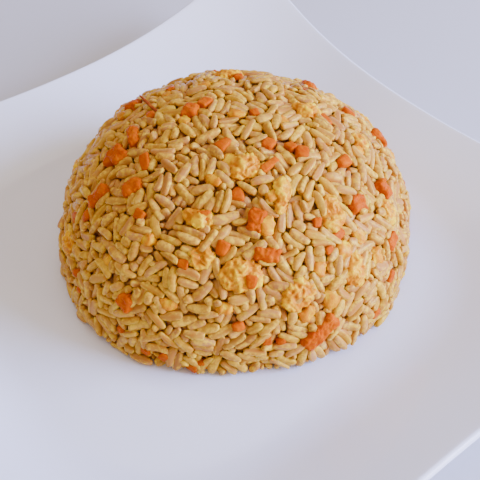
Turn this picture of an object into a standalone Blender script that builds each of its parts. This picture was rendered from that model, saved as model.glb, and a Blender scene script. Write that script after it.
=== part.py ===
"""Fried rice turned out of a bowl onto a square white plate with upturned corners.

Metres, +Z up. The origin is under the plate's centre, on the surface that it stands on.
"""
import math
import random

import bmesh
import bpy
from mathutils import Matrix, Vector, noise

MM = 0.001
GAP = 0.3 * MM

# The plate: a square whose sides bow inwards and whose corners rise.
PLATE_SIDE = 227.5 * MM
SIDE_BOW = 11.6 * MM
CORNER_REACH = 152 * MM
CORNER_SOFTNESS = 3 * MM
PLATE_THICKNESS = 4.4 * MM
LIP_THICKNESS = 2.6 * MM
RIM_ROUNDING = 1.0 * MM
FOOT_HEIGHT = 4 * MM
FOOT_HALF_WIDTH = 56 * MM
FOOT_RING_WIDTH = 5 * MM
FOOT_OVERLAP = 1 * MM
FOOT_CORNERS = 36
WELL_HALF_WIDTH = 64 * MM
WELL_SQUARENESS = 3.0
WALL_BLEND = 15 * MM
WALL_SLOPE = 0.397
WELL_TOP = FOOT_HEIGHT + PLATE_THICKNESS
STEPS_PER_SIDE = 16
WALL_RINGS = 3
LIP_RINGS = 3

# The mound: the inside of a rice bowl, turned over a little off the plate's centre.
MOUND_CENTRE = Vector((17.3 * MM, 0.3 * MM, WELL_TOP))
MOUND_RADIUS = 57.5 * MM
MOUND_HEIGHT = 47.5 * MM
SIDE_FULLNESS = 2.41
TOP_FULLNESS = 1.98
BASE_INSET = 0.8

# Where the foot of the mound spreads or falls short: azimuth in degrees, and how far.
BASE_SWELLS = [
    (-166, 1.7 * MM), (-126, -1.2 * MM), (-88, 1.1 * MM), (-51, -1.3 * MM),
    (-10, 0.5 * MM), (38, -0.9 * MM), (84, 1.0 * MM), (130, -0.8 * MM),
]
SWELL_WIDTH = 20.0

# The grains: ridges of a rice grain's size all over the mound.
GRAIN_LATTICE = 24
GRAIN_STEPS = 2
GRAIN_SINK = 0.4 * MM
VALLEY_DEPTH = 1.9 * MM
LUMP_SIZE = 16 * MM
LUMP_DEPTH = 0.9 * MM
SEED = 11

# Carrot dice that are as large as berries: azimuth and rise in degrees, length, width and
# thickness in millimetres, and the turn of the long side from level, in degrees.
CARROTS = [
    (-103, 14, 13.2, 5.4, 4.2, 34), (153, 57, 7.4, 5.6, 4.0, 20), (144, 63, 9.0, 3.6, 3.4, 12),
    (167, 45, 8.2, 4.4, 4.0, 82), (179, 57, 6.6, 5.2, 3.8, 60), (-71, 46, 6.0, 5.4, 4.2, -30),
    (-117, 56, 7.4, 4.8, 3.8, 64), (-115, 45, 7.8, 4.2, 3.6, -16), (-53, 38, 6.6, 4.6, 4.0, 75),
    (121, 80, 6.4, 5.2, 3.8, 5), (-161, 24, 5.8, 5.0, 4.0, -15), (-67, 26, 6.2, 4.2, 3.8, 10),
    (-20, 34, 7.4, 5.0, 4.0, 40), (12, 52, 6.6, 5.2, 4.0, -50), (35, 20, 8.6, 4.6, 3.8, 15),
    (62, 44, 6.8, 5.4, 4.2, 70), (88, 26, 7.2, 4.4, 3.8, -35), (110, 52, 6.2, 5.0, 4.0, 25),
]

# Egg curds: azimuth and rise in degrees, length, width and thickness in millimetres, turn.
CURDS = [
    (-125, 39, 13.0, 9.6, 4.6, 10), (-139, 45, 7.6, 7.2, 4.2, 40), (-84, 50, 11.4, 7.2, 4.6, 78),
    (-101, 62, 11.6, 5.4, 4.0, 60), (-143, 57, 9.6, 6.2, 4.2, -5), (-118, 74, 10.6, 8.2, 4.4, 20),
    (-20, 70, 9.4, 7.4, 4.4, 30), (-107, 30, 11.2, 8.8, 4.6, 25), (-87, 30, 10.8, 9.4, 4.8, 70),
    (-60, 33, 8.2, 7.0, 4.4, 80), (-37, 52, 8.4, 6.6, 4.4, 15), (-5, 30, 10.4, 7.6, 4.6, -25),
    (22, 38, 9.4, 7.8, 4.4, 50), (55, 62, 10.2, 7.0, 4.2, 0), (72, 14, 9.8, 7.4, 4.4, 35),
    (104, 36, 10.6, 8.0, 4.6, -60), (135, 30, 9.2, 7.4, 4.4, 20), (166, 22, 8.6, 7.0, 4.4, -40),
]
CARROT_STAND = 0.5 * MM
CARROT_BEVEL = 0.7 * MM
CURD_STAND = 0.7 * MM
CURD_CRAGS = 0.9 * MM
CURD_GRAIN = 3.4 * MM
POCKET_GAP = 0.35 * MM


def clear_scene():
    for thing in list(bpy.data.objects):
        bpy.data.objects.remove(thing)


def make_collection(name):
    collection = bpy.data.collections.new(name)
    bpy.context.scene.collection.children.link(collection)
    return collection


def make_material(name, colour, roughness):
    material = bpy.data.materials.new(name)
    material.use_nodes = True
    shader = material.node_tree.nodes["Principled BSDF"]
    shader.inputs["Base Color"].default_value = (*colour, 1.0)
    shader.inputs["Roughness"].default_value = roughness
    shader.inputs["Metallic"].default_value = 0.0
    return material


def make_object(name, mesh_builder, collection, material=None):
    mesh = bpy.data.meshes.new(name)
    mesh_builder.to_mesh(mesh)
    mesh_builder.free()
    thing = bpy.data.objects.new(name, mesh)
    collection.objects.link(thing)
    if material:
        mesh.materials.append(material)
    return thing


def hide_cutter(thing):
    thing.hide_render = True
    thing.display_type = "WIRE"


def use_boolean(thing, operation, other=None, group=None):
    modifier = thing.modifiers.new(operation.title(), "BOOLEAN")
    modifier.operation = operation
    if group:
        modifier.operand_type = "COLLECTION"
        modifier.collection = group
    else:
        modifier.object = other


def bake_modifiers(thing):
    """Puts the object's evaluated mesh in its place and drops the modifiers."""
    depsgraph = bpy.context.evaluated_depsgraph_get()
    mesh = bpy.data.meshes.new_from_object(thing.evaluated_get(depsgraph))
    thing.modifiers.clear()
    thing.data = mesh


# The plate

def wall_distance(x, y):
    """How far out a point lies, measured in rounded squares that follow the well."""
    p = WELL_SQUARENESS
    return (abs(x) ** p + abs(y) ** p) ** (1 / p)


def plate_top(x, y):
    """Height of the plate's upper surface: a flat well and a wall that eases up from it."""
    run = wall_distance(x, y) - WELL_HALF_WIDTH
    if run <= 0:
        return WELL_TOP
    if run < WALL_BLEND:
        return WELL_TOP + WALL_SLOPE * run * run / (2 * WALL_BLEND)
    return WELL_TOP + WALL_SLOPE * (run - WALL_BLEND / 2)


def outline_reach(angle):
    """Distance from the centre to the bowed side, eased off at the corner's round tip."""
    turn = (angle + math.pi / 4) % (math.pi / 2) - math.pi / 4
    half = PLATE_SIDE / 2
    a = SIDE_BOW * math.sin(turn) ** 2 / half ** 2
    b = math.cos(turn)
    c = half - SIDE_BOW
    side = c / b
    if a > 0:
        side = (b - math.sqrt(b * b - 4 * a * c)) / (2 * a)
    soft = CORNER_SOFTNESS
    spare = CORNER_REACH - side
    return side + min(0, spare) - soft * math.log1p(math.exp(-abs(spare) / soft))


def side_angles():
    """Directions of the ring's points, closer together near the corners."""
    angles = []
    for side in range(4):
        for step in range(STEPS_PER_SIDE):
            v = 2 * step / STEPS_PER_SIDE - 1
            u = 1.25 * v - 0.25 * v ** 3
            angles.append(side * math.pi / 2 + math.atan(u))
    return angles


def well_reach(angle, distance):
    return distance / wall_distance(math.cos(angle), math.sin(angle))


def plate_ring(bm, reach_at):
    ring = []
    for angle in side_angles():
        reach = reach_at(angle)
        x = reach * math.cos(angle)
        y = reach * math.sin(angle)
        ring.append(bm.verts.new((x, y, plate_top(x, y))))
    return ring


def join_rings(bm, inner, outer):
    count = len(inner)
    for i in range(count):
        j = (i + 1) % count
        bm.faces.new((inner[i], outer[i], outer[j], inner[j]))


def add_taper(plate, ring_count):
    """A vertex group that thins the plate evenly from the well's edge to the lip."""
    taper = plate.vertex_groups.new(name="thickness")
    per_ring = len(plate.data.vertices) // ring_count
    for ring in range(ring_count):
        share = ring / (ring_count - 1)
        weight = 1 + share * (LIP_THICKNESS / PLATE_THICKNESS - 1)
        taper.add(list(range(ring * per_ring, (ring + 1) * per_ring)), weight, "REPLACE")
    return taper


def build_plate(collection, cutters, material):
    bm = bmesh.new()
    rings = []
    for step in range(WALL_RINGS + 1):
        distance = WELL_HALF_WIDTH + WALL_BLEND * step / WALL_RINGS
        rings.append(plate_ring(bm, lambda angle, d=distance: well_reach(angle, d)))
    wall_end = WELL_HALF_WIDTH + WALL_BLEND
    for step in range(1, LIP_RINGS + 1):
        share = step / LIP_RINGS

        def reach_at(angle, share=share):
            return (1 - share) * well_reach(angle, wall_end) + share * outline_reach(angle)

        rings.append(plate_ring(bm, reach_at))
    bm.faces.new(rings[0])
    for inner, outer in zip(rings, rings[1:]):
        join_rings(bm, inner, outer)
    ring_count = len(rings)
    plate = make_object("plate", bm, collection, material)

    shell = plate.modifiers.new("Thickness", "SOLIDIFY")
    shell.thickness = PLATE_THICKNESS
    shell.vertex_group = add_taper(plate, ring_count).name
    shell.offset = -1
    shell.use_even_offset = True
    rounding = plate.modifiers.new("Round rim", "BEVEL")
    rounding.width = RIM_ROUNDING
    rounding.segments = 2
    rounding.limit_method = "ANGLE"
    rounding.angle_limit = math.radians(50)
    use_boolean(plate, "UNION", build_foot(cutters))
    bake_modifiers(plate)
    plate.data.shade_smooth()
    plate.data.set_sharp_from_angle(angle=math.radians(40))
    return plate


def add_foot_outline(curve, half_width):
    spline = curve.splines.new("POLY")
    spline.points.add(FOOT_CORNERS - 1)
    spline.use_cyclic_u = True
    for i, point in enumerate(spline.points):
        angle = 2 * math.pi * i / FOOT_CORNERS
        reach = well_reach(angle, half_width)
        point.co = (reach * math.cos(angle), reach * math.sin(angle), 0, 1)


def build_foot(cutters):
    """The foot: a flat ring in the shape of the well, which the plate's underside joins."""
    curve = bpy.data.curves.new("foot_outline", "CURVE")
    curve.dimensions = "2D"
    curve.fill_mode = "BOTH"
    height = FOOT_HEIGHT + FOOT_OVERLAP
    curve.extrude = height / 2
    add_foot_outline(curve, FOOT_HALF_WIDTH)
    add_foot_outline(curve, FOOT_HALF_WIDTH - FOOT_RING_WIDTH)
    outline = bpy.data.objects.new("foot_outline", curve)
    cutters.objects.link(outline)
    outline.location.z = height / 2
    bpy.context.view_layer.update()
    mesh = bpy.data.meshes.new_from_object(outline.evaluated_get(bpy.context.evaluated_depsgraph_get()))
    bm = bmesh.new()
    bm.from_mesh(mesh)
    bmesh.ops.remove_doubles(bm, verts=bm.verts, dist=0.00001)
    foot = make_object("foot", bm, cutters)
    foot.matrix_world = outline.matrix_world
    bpy.data.objects.remove(outline)
    hide_cutter(foot)
    return foot


# The mound

def swell_at(azimuth):
    total = 0.0
    for centre, swell in BASE_SWELLS:
        away = (math.degrees(azimuth) - centre + 180) % 360 - 180
        total += swell * math.exp(-(away / SWELL_WIDTH) ** 2)
    return total


def dome_point(azimuth, rise):
    """Point of the moulded surface at an azimuth and a rise from base to top, in radians."""
    radius = MOUND_RADIUS * math.cos(rise) ** (2 / SIDE_FULLNESS)
    radius += swell_at(azimuth) * math.cos(rise) ** 2
    height = MOUND_HEIGHT * math.sin(rise) ** (2 / TOP_FULLNESS)
    flat = Vector((math.cos(azimuth), math.sin(azimuth), 0)) * radius
    return MOUND_CENTRE + flat + Vector((0, 0, height))


def dome_frame(azimuth, rise):
    """Axes on the dome: level along it, up along it and out of it."""
    step = 0.01
    level = Vector((-math.sin(azimuth), math.cos(azimuth), 0))
    up = dome_point(azimuth, rise + step) - dome_point(azimuth, rise - step)
    out = level.cross(up).normalized()
    return level, out.cross(level), out


def dome_sphere(bm):
    """Half an icosphere, whose points are then moved onto the dome."""
    bmesh.ops.create_icosphere(bm, subdivisions=1, radius=1)
    bmesh.ops.subdivide_edges(bm, edges=bm.edges[:], cuts=GRAIN_LATTICE - 1, use_grid_fill=True)
    for vert in bm.verts:
        vert.co.normalize()
    below = [vert for vert in bm.verts if vert.co.z < -0.001]
    bmesh.ops.delete(bm, geom=below, context="VERTS")


def next_along(vert, direction, free):
    """The free neighbour that lies straightest ahead."""
    best = None
    best_turn = 0.8
    for edge in vert.link_edges:
        other = edge.other_vert(vert)
        turn = (other.co - vert.co).normalized().dot(direction)
        if other in free and turn > best_turn:
            best = other
            best_turn = turn
    return best


def grain_ridges(bm, rng):
    """Picks chains of neighbouring points, each the ridge of a grain with low points round it."""
    free = {vert for vert in bm.verts if not vert.is_boundary}
    starts = sorted(free, key=lambda vert: vert.index)
    rng.shuffle(starts)
    ridges = set()
    for shortest in (GRAIN_STEPS, 1):
        for start in starts:
            if start not in free:
                continue
            edge = rng.choice(start.link_edges[:])
            direction = (edge.other_vert(start).co - start.co).normalized()
            chain = [start]
            while len(chain) <= GRAIN_STEPS:
                ahead = next_along(chain[-1], direction, free)
                if not ahead:
                    break
                chain.append(ahead)
            if len(chain) <= shortest:
                continue
            ridges.update(chain)
            free.difference_update(chain)
            for vert in chain:
                free.difference_update(edge.other_vert(vert) for edge in vert.link_edges)
    return ridges


def build_rice(collection, pockets, material):
    rng = random.Random(SEED)
    bm = bmesh.new()
    dome_sphere(bm)
    bm.verts.index_update()
    ridges = grain_ridges(bm, rng)
    moved = {}
    for vert in bm.verts:
        rise = math.asin(min(1, max(0, vert.co.z)))
        azimuth = math.atan2(vert.co.y, vert.co.x)
        point = dome_point(azimuth, rise)
        if vert.is_boundary:
            flat = (point - MOUND_CENTRE).normalized() * VALLEY_DEPTH / 2
            point -= flat
            point.z = plate_top(point.x, point.y) + GAP
            moved[vert] = point
            continue
        out = dome_frame(azimuth, rise)[2] if rise < math.radians(88) else Vector((0, 0, 1))
        depth = GRAIN_SINK * rng.random()
        if vert not in ridges:
            depth = VALLEY_DEPTH * rng.uniform(0.8, 1.0)
        depth += LUMP_DEPTH * max(0, noise.noise(point / LUMP_SIZE))
        point -= out * depth
        point.z = max(point.z, plate_top(point.x, point.y) + 4 * GAP)
        moved[vert] = point
    for vert, point in moved.items():
        vert.co = point

    rim = [edge for edge in bm.edges if edge.is_boundary]
    inner = bmesh.ops.extrude_edge_only(bm, edges=rim)["geom"]
    for vert in inner:
        if isinstance(vert, bmesh.types.BMVert):
            vert.co.x = MOUND_CENTRE.x + (vert.co.x - MOUND_CENTRE.x) * BASE_INSET
            vert.co.y = MOUND_CENTRE.y + (vert.co.y - MOUND_CENTRE.y) * BASE_INSET
            vert.co.z = WELL_TOP + GAP
    bmesh.ops.contextual_create(bm, geom=[edge for edge in bm.edges if edge.is_boundary])
    bmesh.ops.recalc_face_normals(bm, faces=bm.faces[:])
    rice = make_object("rice", bm, collection, material)
    use_boolean(rice, "DIFFERENCE", group=pockets)
    bake_modifiers(rice)
    drop_scraps(rice)
    rice.data.shade_smooth()
    return rice


def drop_scraps(thing):
    """Keeps the largest body of a mesh and deletes what a cut has left loose."""
    bm = bmesh.new()
    bm.from_mesh(thing.data)
    unseen = set(bm.verts)
    bodies = []
    while unseen:
        body = set()
        edge_of_body = [unseen.pop()]
        while edge_of_body:
            vert = edge_of_body.pop()
            body.add(vert)
            for edge in vert.link_edges:
                other = edge.other_vert(vert)
                if other in unseen:
                    unseen.discard(other)
                    edge_of_body.append(other)
        bodies.append(body)
    bodies.sort(key=len)
    for body in bodies[:-1]:
        bmesh.ops.delete(bm, geom=list(body), context="VERTS")
    bm.to_mesh(thing.data)
    bm.free()


# What lies in the mound's surface

def seat(azimuth, rise, turn, sink):
    """Placement with X along the piece, Z out of the mound, its centre below the surface."""
    azimuth = math.radians(azimuth)
    rise = math.radians(rise)
    level, up, out = dome_frame(azimuth, rise)
    turn = math.radians(turn)
    along = level * math.cos(turn) + up * math.sin(turn)
    across = out.cross(along)
    centre = dome_point(azimuth, rise) - out * sink
    place = Matrix((along, across, out)).transposed().to_4x4()
    place.translation = centre
    return place


def carrot_mesh(size, seed, grow):
    """A cut dice of carrot: a box whose corners are a little off, with worn edges."""
    rng = random.Random(seed)
    bm = bmesh.new()
    bmesh.ops.create_cube(bm, size=1)
    for vert in bm.verts:
        for axis in range(3):
            vert.co[axis] *= size[axis] * rng.uniform(0.86, 1.0)
            vert.co[axis] += math.copysign(grow, vert.co[axis])
    bmesh.ops.bevel(
        bm, geom=bm.edges[:], offset=CARROT_BEVEL, segments=1, affect="EDGES", profile=0.5
    )
    return bm


def curd_mesh(size, seed, grow):
    """A curd of egg: a flattened lump with crags."""
    bm = bmesh.new()
    bmesh.ops.create_icosphere(bm, subdivisions=2, radius=0.5)
    shift = Vector((seed * 7.3, seed * 3.1, seed * 5.7))
    for vert in bm.verts:
        out = vert.co.normalized()
        spot = Vector([vert.co[axis] * size[axis] for axis in range(3)])
        crag = noise.noise(spot / CURD_GRAIN + shift) * CURD_CRAGS
        vert.co = spot + out * (min(0, crag) + grow)
    return bm


def place_piece(bm, name, placement, collection, material=None):
    bmesh.ops.transform(bm, matrix=placement, verts=bm.verts[:])
    return make_object(name, bm, collection, material)


def build_pieces(kind, rows, mesh_of, stand, collection, pockets, material):
    """Makes each piece, and a slightly larger cutter that leaves its pocket in the rice."""
    for number, (azimuth, rise, length, width, thickness, turn) in enumerate(rows, 1):
        size = (length * MM, width * MM, thickness * MM)
        placement = seat(azimuth, rise, turn, size[2] / 2 - stand)
        name = f"{kind}_{number:02d}"
        place_piece(mesh_of(size, number, 0), name, placement, collection, material)
        cutter = place_piece(mesh_of(size, number, POCKET_GAP), name + "_pocket", placement, pockets)
        hide_cutter(cutter)


def main():
    clear_scene()
    parts = make_collection("fried_rice_plate")
    cutters = make_collection("cutters")
    pockets = make_collection("pockets")
    porcelain = make_material("white_porcelain", (0.80, 0.80, 0.82), 0.12)
    grain = make_material("rice", (0.66, 0.42, 0.17), 0.45)
    carrot = make_material("carrot", (0.85, 0.23, 0.03), 0.4)
    egg = make_material("egg", (0.83, 0.52, 0.13), 0.5)

    build_plate(parts, cutters, porcelain)
    build_pieces("carrot", CARROTS, carrot_mesh, CARROT_STAND, parts, pockets, carrot)
    build_pieces("egg", CURDS, curd_mesh, CURD_STAND, parts, pockets, egg)
    build_rice(parts, pockets, grain)
    for cutter in list(pockets.objects) + list(cutters.objects):
        bpy.data.objects.remove(cutter)


main()
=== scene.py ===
import math

import bmesh
import bpy
import numpy as np
from mathutils import Matrix, Vector, noise


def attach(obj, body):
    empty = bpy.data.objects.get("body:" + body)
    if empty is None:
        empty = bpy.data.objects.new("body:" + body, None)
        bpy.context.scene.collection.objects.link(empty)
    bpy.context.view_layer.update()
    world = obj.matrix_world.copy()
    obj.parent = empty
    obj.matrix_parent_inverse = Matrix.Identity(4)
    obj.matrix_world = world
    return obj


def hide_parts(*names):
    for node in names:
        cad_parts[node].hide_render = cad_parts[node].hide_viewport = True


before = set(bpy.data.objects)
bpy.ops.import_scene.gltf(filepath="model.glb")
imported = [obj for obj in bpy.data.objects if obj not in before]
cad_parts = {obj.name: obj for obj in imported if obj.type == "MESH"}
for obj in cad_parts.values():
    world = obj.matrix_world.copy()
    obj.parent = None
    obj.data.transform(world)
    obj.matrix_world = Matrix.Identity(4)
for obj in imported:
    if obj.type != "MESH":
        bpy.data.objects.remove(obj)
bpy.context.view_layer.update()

MM = 0.001
SEED = 20

# The plate, with the same sizes as its solid.
PLATE_SIDE = 227.5 * MM
SIDE_BOW = 11.6 * MM
CORNER_REACH = 152 * MM
CORNER_SOFTNESS = 3 * MM
PLATE_THICKNESS = 4.4 * MM
LIP_THICKNESS = 2.6 * MM
FOOT_HEIGHT = 4 * MM
FOOT_HALF_WIDTH = 56 * MM
FOOT_RING_WIDTH = 5 * MM
WELL_HALF_WIDTH = 64 * MM
WELL_SQUARENESS = 3.0
WALL_BLEND = 15 * MM
WALL_SLOPE = 0.397
WELL_TOP = FOOT_HEIGHT + PLATE_THICKNESS
STEPS_PER_SIDE = 48
WALL_RINGS = 10
LIP_RINGS = 12
WELL_RINGS = (0.35, 0.7, 0.9)
# How far the steps along a side crowd towards the corners.
CORNER_CROWDING = 0.25
RIM_ROUNDING = 1.1 * MM
FOOT_ROUNDING = 1.0 * MM
FOOT_STEPS = 120

# The mound, with the same sizes as its solid.
MOUND_CENTRE = np.array([17.3, 0.3, 8.4]) * MM
MOUND_RADIUS = 57.5 * MM
MOUND_HEIGHT = 47.5 * MM
SIDE_FULLNESS = 2.41
TOP_FULLNESS = 1.98
BASE_SWELLS = [
    (-166, 1.7 * MM), (-126, -1.2 * MM), (-88, 1.1 * MM), (-51, -1.3 * MM),
    (-10, 0.5 * MM), (38, -0.9 * MM), (84, 1.0 * MM), (130, -0.8 * MM),
]
SWELL_WIDTH = 20.0
# How far the loose grains spread beyond the mould at its foot.
BASE_SPREAD = 1.2 * MM

# Grains of rice
GRAIN_COUNT = 3100
GRAIN_LENGTH = 7.3 * MM
GRAIN_WIDTH = 2.95 * MM
GRAIN_FLATNESS = 0.80
GRAIN_BEADS = 4
GRAIN_RINGS = 12
GRAIN_SIDES = 12
# How grains differ: the spread of the draw, and the least and most that it gives.
LENGTH_VARIES = (0.1, 0.74, 1.22)
WIDTH_VARIES = (0.08, 0.8, 1.18)
# Shares of grains that stand steeply in the surface, that are broken and that have split.
STEEP_SHARE = 0.2
BROKEN_SHARE = 0.1
SPLIT_SHARE = 0.22
BROKEN_LENGTHS = (0.5, 0.75)
STEEP_LEAN = 1.3
USUAL_LEAN = 0.35
# Grooves along a grain: the deepest that each may be, as a share of the radius, and its width.
GROOVES = ((0.26, 0.10), (0.2, 0.06), (0.14, 0.05))
WRINKLE = 0.035
# Size of the patches of the heap in which grains have a like tone.
TONE_PATCH = 14 * MM

# Packing of the grains: the layer under the mould's surface that they start in, the depth of
# the core, and the depth below which a grain is left out because it can't be seen.
UNEVENNESS = 1.5 * MM
SHELL_TOP = 1.4 * MM
SHELL_DEPTH = 5.2 * MM
CORE_DEPTH = 4.4 * MM
HIDDEN_DEPTH = CORE_DEPTH + 1.2 * MM
CORE_LUMP_SIZE = 3.2 * MM
CORE_LUMP_HEIGHT = 0.9 * MM
PLATE_GAP = 0.3 * MM
# A grain's beads are thinner than the grain, so that grains press into each other.
BEAD_SHARE = 0.37
OUTWARD_PULL = 0.10 * MM
PACKING_ROUNDS = 220
ROUNDS_PER_SEARCH = 3
# The share of its lean that a grain loses at each round: near the surface, deeper, and the
# part of that which a steep grain loses.
SURFACE_DEPTH = 3.5 * MM
SURFACE_SETTLING = 0.09
DEEP_SETTLING = 0.02
STEEP_SETTLING = 0.2

# The camera, worked out from the outlines of mound and plate in the photograph.
PHOTO_SIZE = 480
FOCAL_PIXELS = 742
SENSOR_WIDTH = 36.0
CAMERA_PLACE = Vector((-85.2, -141.1, 187.6)) * MM
CAMERA_TARGET = Vector((15.5, -4.1, 8.4)) * MM
CAMERA_ROLL = math.radians(-1.9)
# Start, end and step in metres of the search along a line of sight.
RAY_STEPS = (0.1, 0.4, 0.0001)

# Small dice of carrot that show: pixel in the photograph, length and width in mm, turn.
CARROT_BITS_SEEN = [
    (107, 158, 4.6, 3.8, 70), (144, 161, 6.4, 3.0, -20), (270, 163, 6.6, 2.4, 15),
    (224, 140, 5.8, 3.2, 60), (255, 111, 3.2, 2.6, 0), (269, 140, 4.2, 3.6, 20),
    (291, 144, 3.2, 2.8, 70), (303, 150, 4.8, 4.2, 30), (238, 191, 4.2, 3.6, 80),
    (306, 88, 3.6, 3.0, 10), (238, 74, 3.4, 2.8, 0), (350, 111, 4.8, 3.4, 60),
    (325, 116, 5.6, 4.0, 20), (346, 159, 4.8, 3.6, -30), (73, 215, 4.4, 3.4, 80),
    (84, 216, 3.6, 3.0, 70), (138, 214, 3.4, 3.0, 0), (183, 264, 3.0, 2.6, 0),
    (222, 248, 4.2, 3.6, 70), (251, 282, 3.0, 2.4, 80), (239, 328, 3.6, 2.8, 10),
    (341, 234, 4.6, 2.8, 10), (410, 250, 3.8, 3.0, 80), (394, 278, 4.4, 3.4, 60),
    (378, 315, 3.8, 3.2, 20), (143, 353, 3.6, 2.6, 10), (189, 369, 4.2, 3.0, 0),
    (200, 368, 4.0, 3.0, 20), (163, 358, 3.2, 2.6, 60), (119, 332, 3.0, 2.4, 20),
    (268, 343, 2.8, 2.4, 80), (282, 344, 2.8, 2.4, 20), (78, 290, 2.8, 2.4, 70),
    (74, 274, 2.8, 2.4, 20), (149, 113, 3.8, 3.0, 30), (170, 87, 3.2, 2.8, 60),
    (205, 101, 4.6, 3.4, 10), (355, 268, 3.0, 2.4, 40), (330, 250, 2.6, 2.2, 0),
    (318, 222, 2.8, 2.4, 60),
]
# Small curds of egg that show, in the same terms.
EGG_BITS_SEEN = [
    (237, 112, 5.6, 3.0, 30), (362, 147, 6.0, 4.4, 10), (335, 300, 7.0, 5.4, 70),
    (167, 306, 4.6, 4.0, 0), (120, 114, 5.6, 3.2, 60), (203, 83, 5.4, 4.6, 20),
    (230, 156, 5.8, 4.0, 80), (166, 92, 4.8, 3.6, 40), (277, 194, 5.8, 4.2, -10),
    (346, 250, 6.4, 5.0, 20), (322, 270, 5.2, 4.2, 50), (214, 178, 4.6, 3.8, 10),
    (310, 316, 5.0, 3.8, 20), (362, 235, 5.4, 4.2, 60), (268, 226, 5.4, 4.4, 80),
    (184, 118, 4.6, 3.6, 0), (284, 120, 5.0, 3.6, 40), (147, 240, 4.2, 3.4, 30),
    (225, 310, 4.8, 4.0, 0), (380, 258, 5.2, 4.2, 70), (105, 262, 4.4, 3.4, 60),
]
# Scraps of carrot that lie on curds of egg, in the same terms, and the dark sliver: its
# middle and its run across the photograph in pixels, and its size in mm.
CARROT_ON_EGG = [(204, 216, 3.8, 3.2, 10), (251, 282, 3.8, 3.0, 80)]
CARROT_ON_EGG_LIFT = 0.9 * MM
SLIVER_PLACE = (149, 105)
SLIVER_RUN = (18, 24)
SLIVER_SIZE = (9.5, 1.1, 0.8)

# More bits on the far side: how many, and the least and most length in mm.
HIDDEN_CARROT_BITS = (36, 2.6, 5.6)
HIDDEN_EGG_BITS = (26, 3.6, 7.0)
TRIES_PER_BIT = 40
BIT_SPACING = 1.0 * MM
BIT_TILT = 0.12
BIT_TAPER = 0.3
BIT_RINGS = 14
BIT_SIDES = 18
CARROT_BIT_THICKNESS = 0.8
EGG_BIT_THICKNESS = 0.7
# Beads that keep the grains off carrot and egg: their size as a share of the piece's, and
# how much smaller they are than the piece, so that grains lap over its edge.
BIT_BEAD_SHARE = 0.44
PIECE_BEAD_SHARE = 0.92
GRAINS_LAP_OVER = {"carrot": 0.8 * MM, "egg": 1.1 * MM}

# Noise that works the surfaces: how it falls off and steps up from form to finer form, how
# folds wander, and what keeps the noise of one layer or piece apart from the next.
NOISE_FALL = 0.9
NOISE_STEP = 2.1
FOLD_SHARPNESS = 3.2
FOLD_WANDER = 0.8
LAYER_SHIFT = 5.3
PIECE_SHIFT = 3.7

# Light: each lamp's steps to the right, away from the camera and up from the mound in metres,
# its width, its power in watts and its colour.
LAMPS = {
    "key": ((0.92, -0.12, 0.39), 0.6, 46, (0.42, 0.51, 1.0)),
    "above": ((0, 0.15, 0.8), 0.7, 2.4, (0.95, 0.90, 0.90)),
    "fill": ((0.84, -0.56, 0.12), 0.6, 10, (0.95, 0.80, 0.72)),
}
SKY_COLOUR = (1.0, 0.77, 0.64, 1)
SKY_STRENGTH = 0.66
FLOOR_SIZE = 6
FLOOR_COLOUR = (206, 206, 208)


# Shape of the plate

def wall_distance(x, y):
    """How far out points lie, measured so that a rounded square is the same all round."""
    p = WELL_SQUARENESS
    return (abs(x) ** p + abs(y) ** p) ** (1 / p)


def plate_top(x, y):
    """The height of the plate's top, at one place or for arrays."""
    run = np.maximum(wall_distance(x, y) - WELL_HALF_WIDTH, 0)
    blend = WALL_SLOPE * run * run / (2 * WALL_BLEND)
    return WELL_TOP + np.where(run < WALL_BLEND, blend, WALL_SLOPE * (run - WALL_BLEND / 2))


def outline_reach(angle):
    """How far the plate's edge lies in a direction: a bowed side, cut off softly at the corner."""
    turn = (angle + math.pi / 4) % (math.pi / 2) - math.pi / 4
    half = PLATE_SIDE / 2
    a = SIDE_BOW * math.sin(turn) ** 2 / half ** 2
    b = math.cos(turn)
    c = half - SIDE_BOW
    side = c / b
    if a > 0:
        side = (b - math.sqrt(b * b - 4 * a * c)) / (2 * a)
    spare = CORNER_REACH - side
    soft = CORNER_SOFTNESS
    return side + min(0, spare) - soft * math.log1p(math.exp(-abs(spare) / soft))


def side_angles():
    angles = []
    for side in range(4):
        for step in range(STEPS_PER_SIDE):
            v = 2 * step / STEPS_PER_SIDE - 1
            u = (1 + CORNER_CROWDING) * v - CORNER_CROWDING * v ** 3
            angles.append(side * math.pi / 2 + math.atan(u))
    return angles


def well_reach(angle, distance):
    return distance / wall_distance(math.cos(angle), math.sin(angle))


# Shape of the mound

def swell_at(azimuth):
    total = np.full_like(azimuth, BASE_SPREAD)
    for centre, swell in BASE_SWELLS:
        away = (np.degrees(azimuth) - centre + 180) % 360 - 180
        total += swell * np.exp(-(away / SWELL_WIDTH) ** 2)
    return total


def under_mould(points):
    """How deep points lie under the mould's surface, and the way out of it, for an array."""
    away = points - MOUND_CENTRE
    azimuth = np.arctan2(away[:, 1], away[:, 0])
    height = np.clip(away[:, 2] / MOUND_HEIGHT, 0.0001, 2)
    lift = height ** TOP_FULLNESS
    flat = np.hypot(away[:, 0], away[:, 1]) - swell_at(azimuth) * np.clip(1 - lift, 0, 1)
    spread = np.clip(flat / MOUND_RADIUS, 0.0001, 2)
    value = spread ** SIDE_FULLNESS + lift
    slope_out = SIDE_FULLNESS * spread ** (SIDE_FULLNESS - 1) / MOUND_RADIUS
    slope_up = TOP_FULLNESS * lift / height / MOUND_HEIGHT
    steep = np.hypot(slope_out, slope_up)
    out = np.stack([np.cos(azimuth) * slope_out, np.sin(azimuth) * slope_out, slope_up], -1)
    return (1 - value) / steep, out / steep[:, None]


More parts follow.
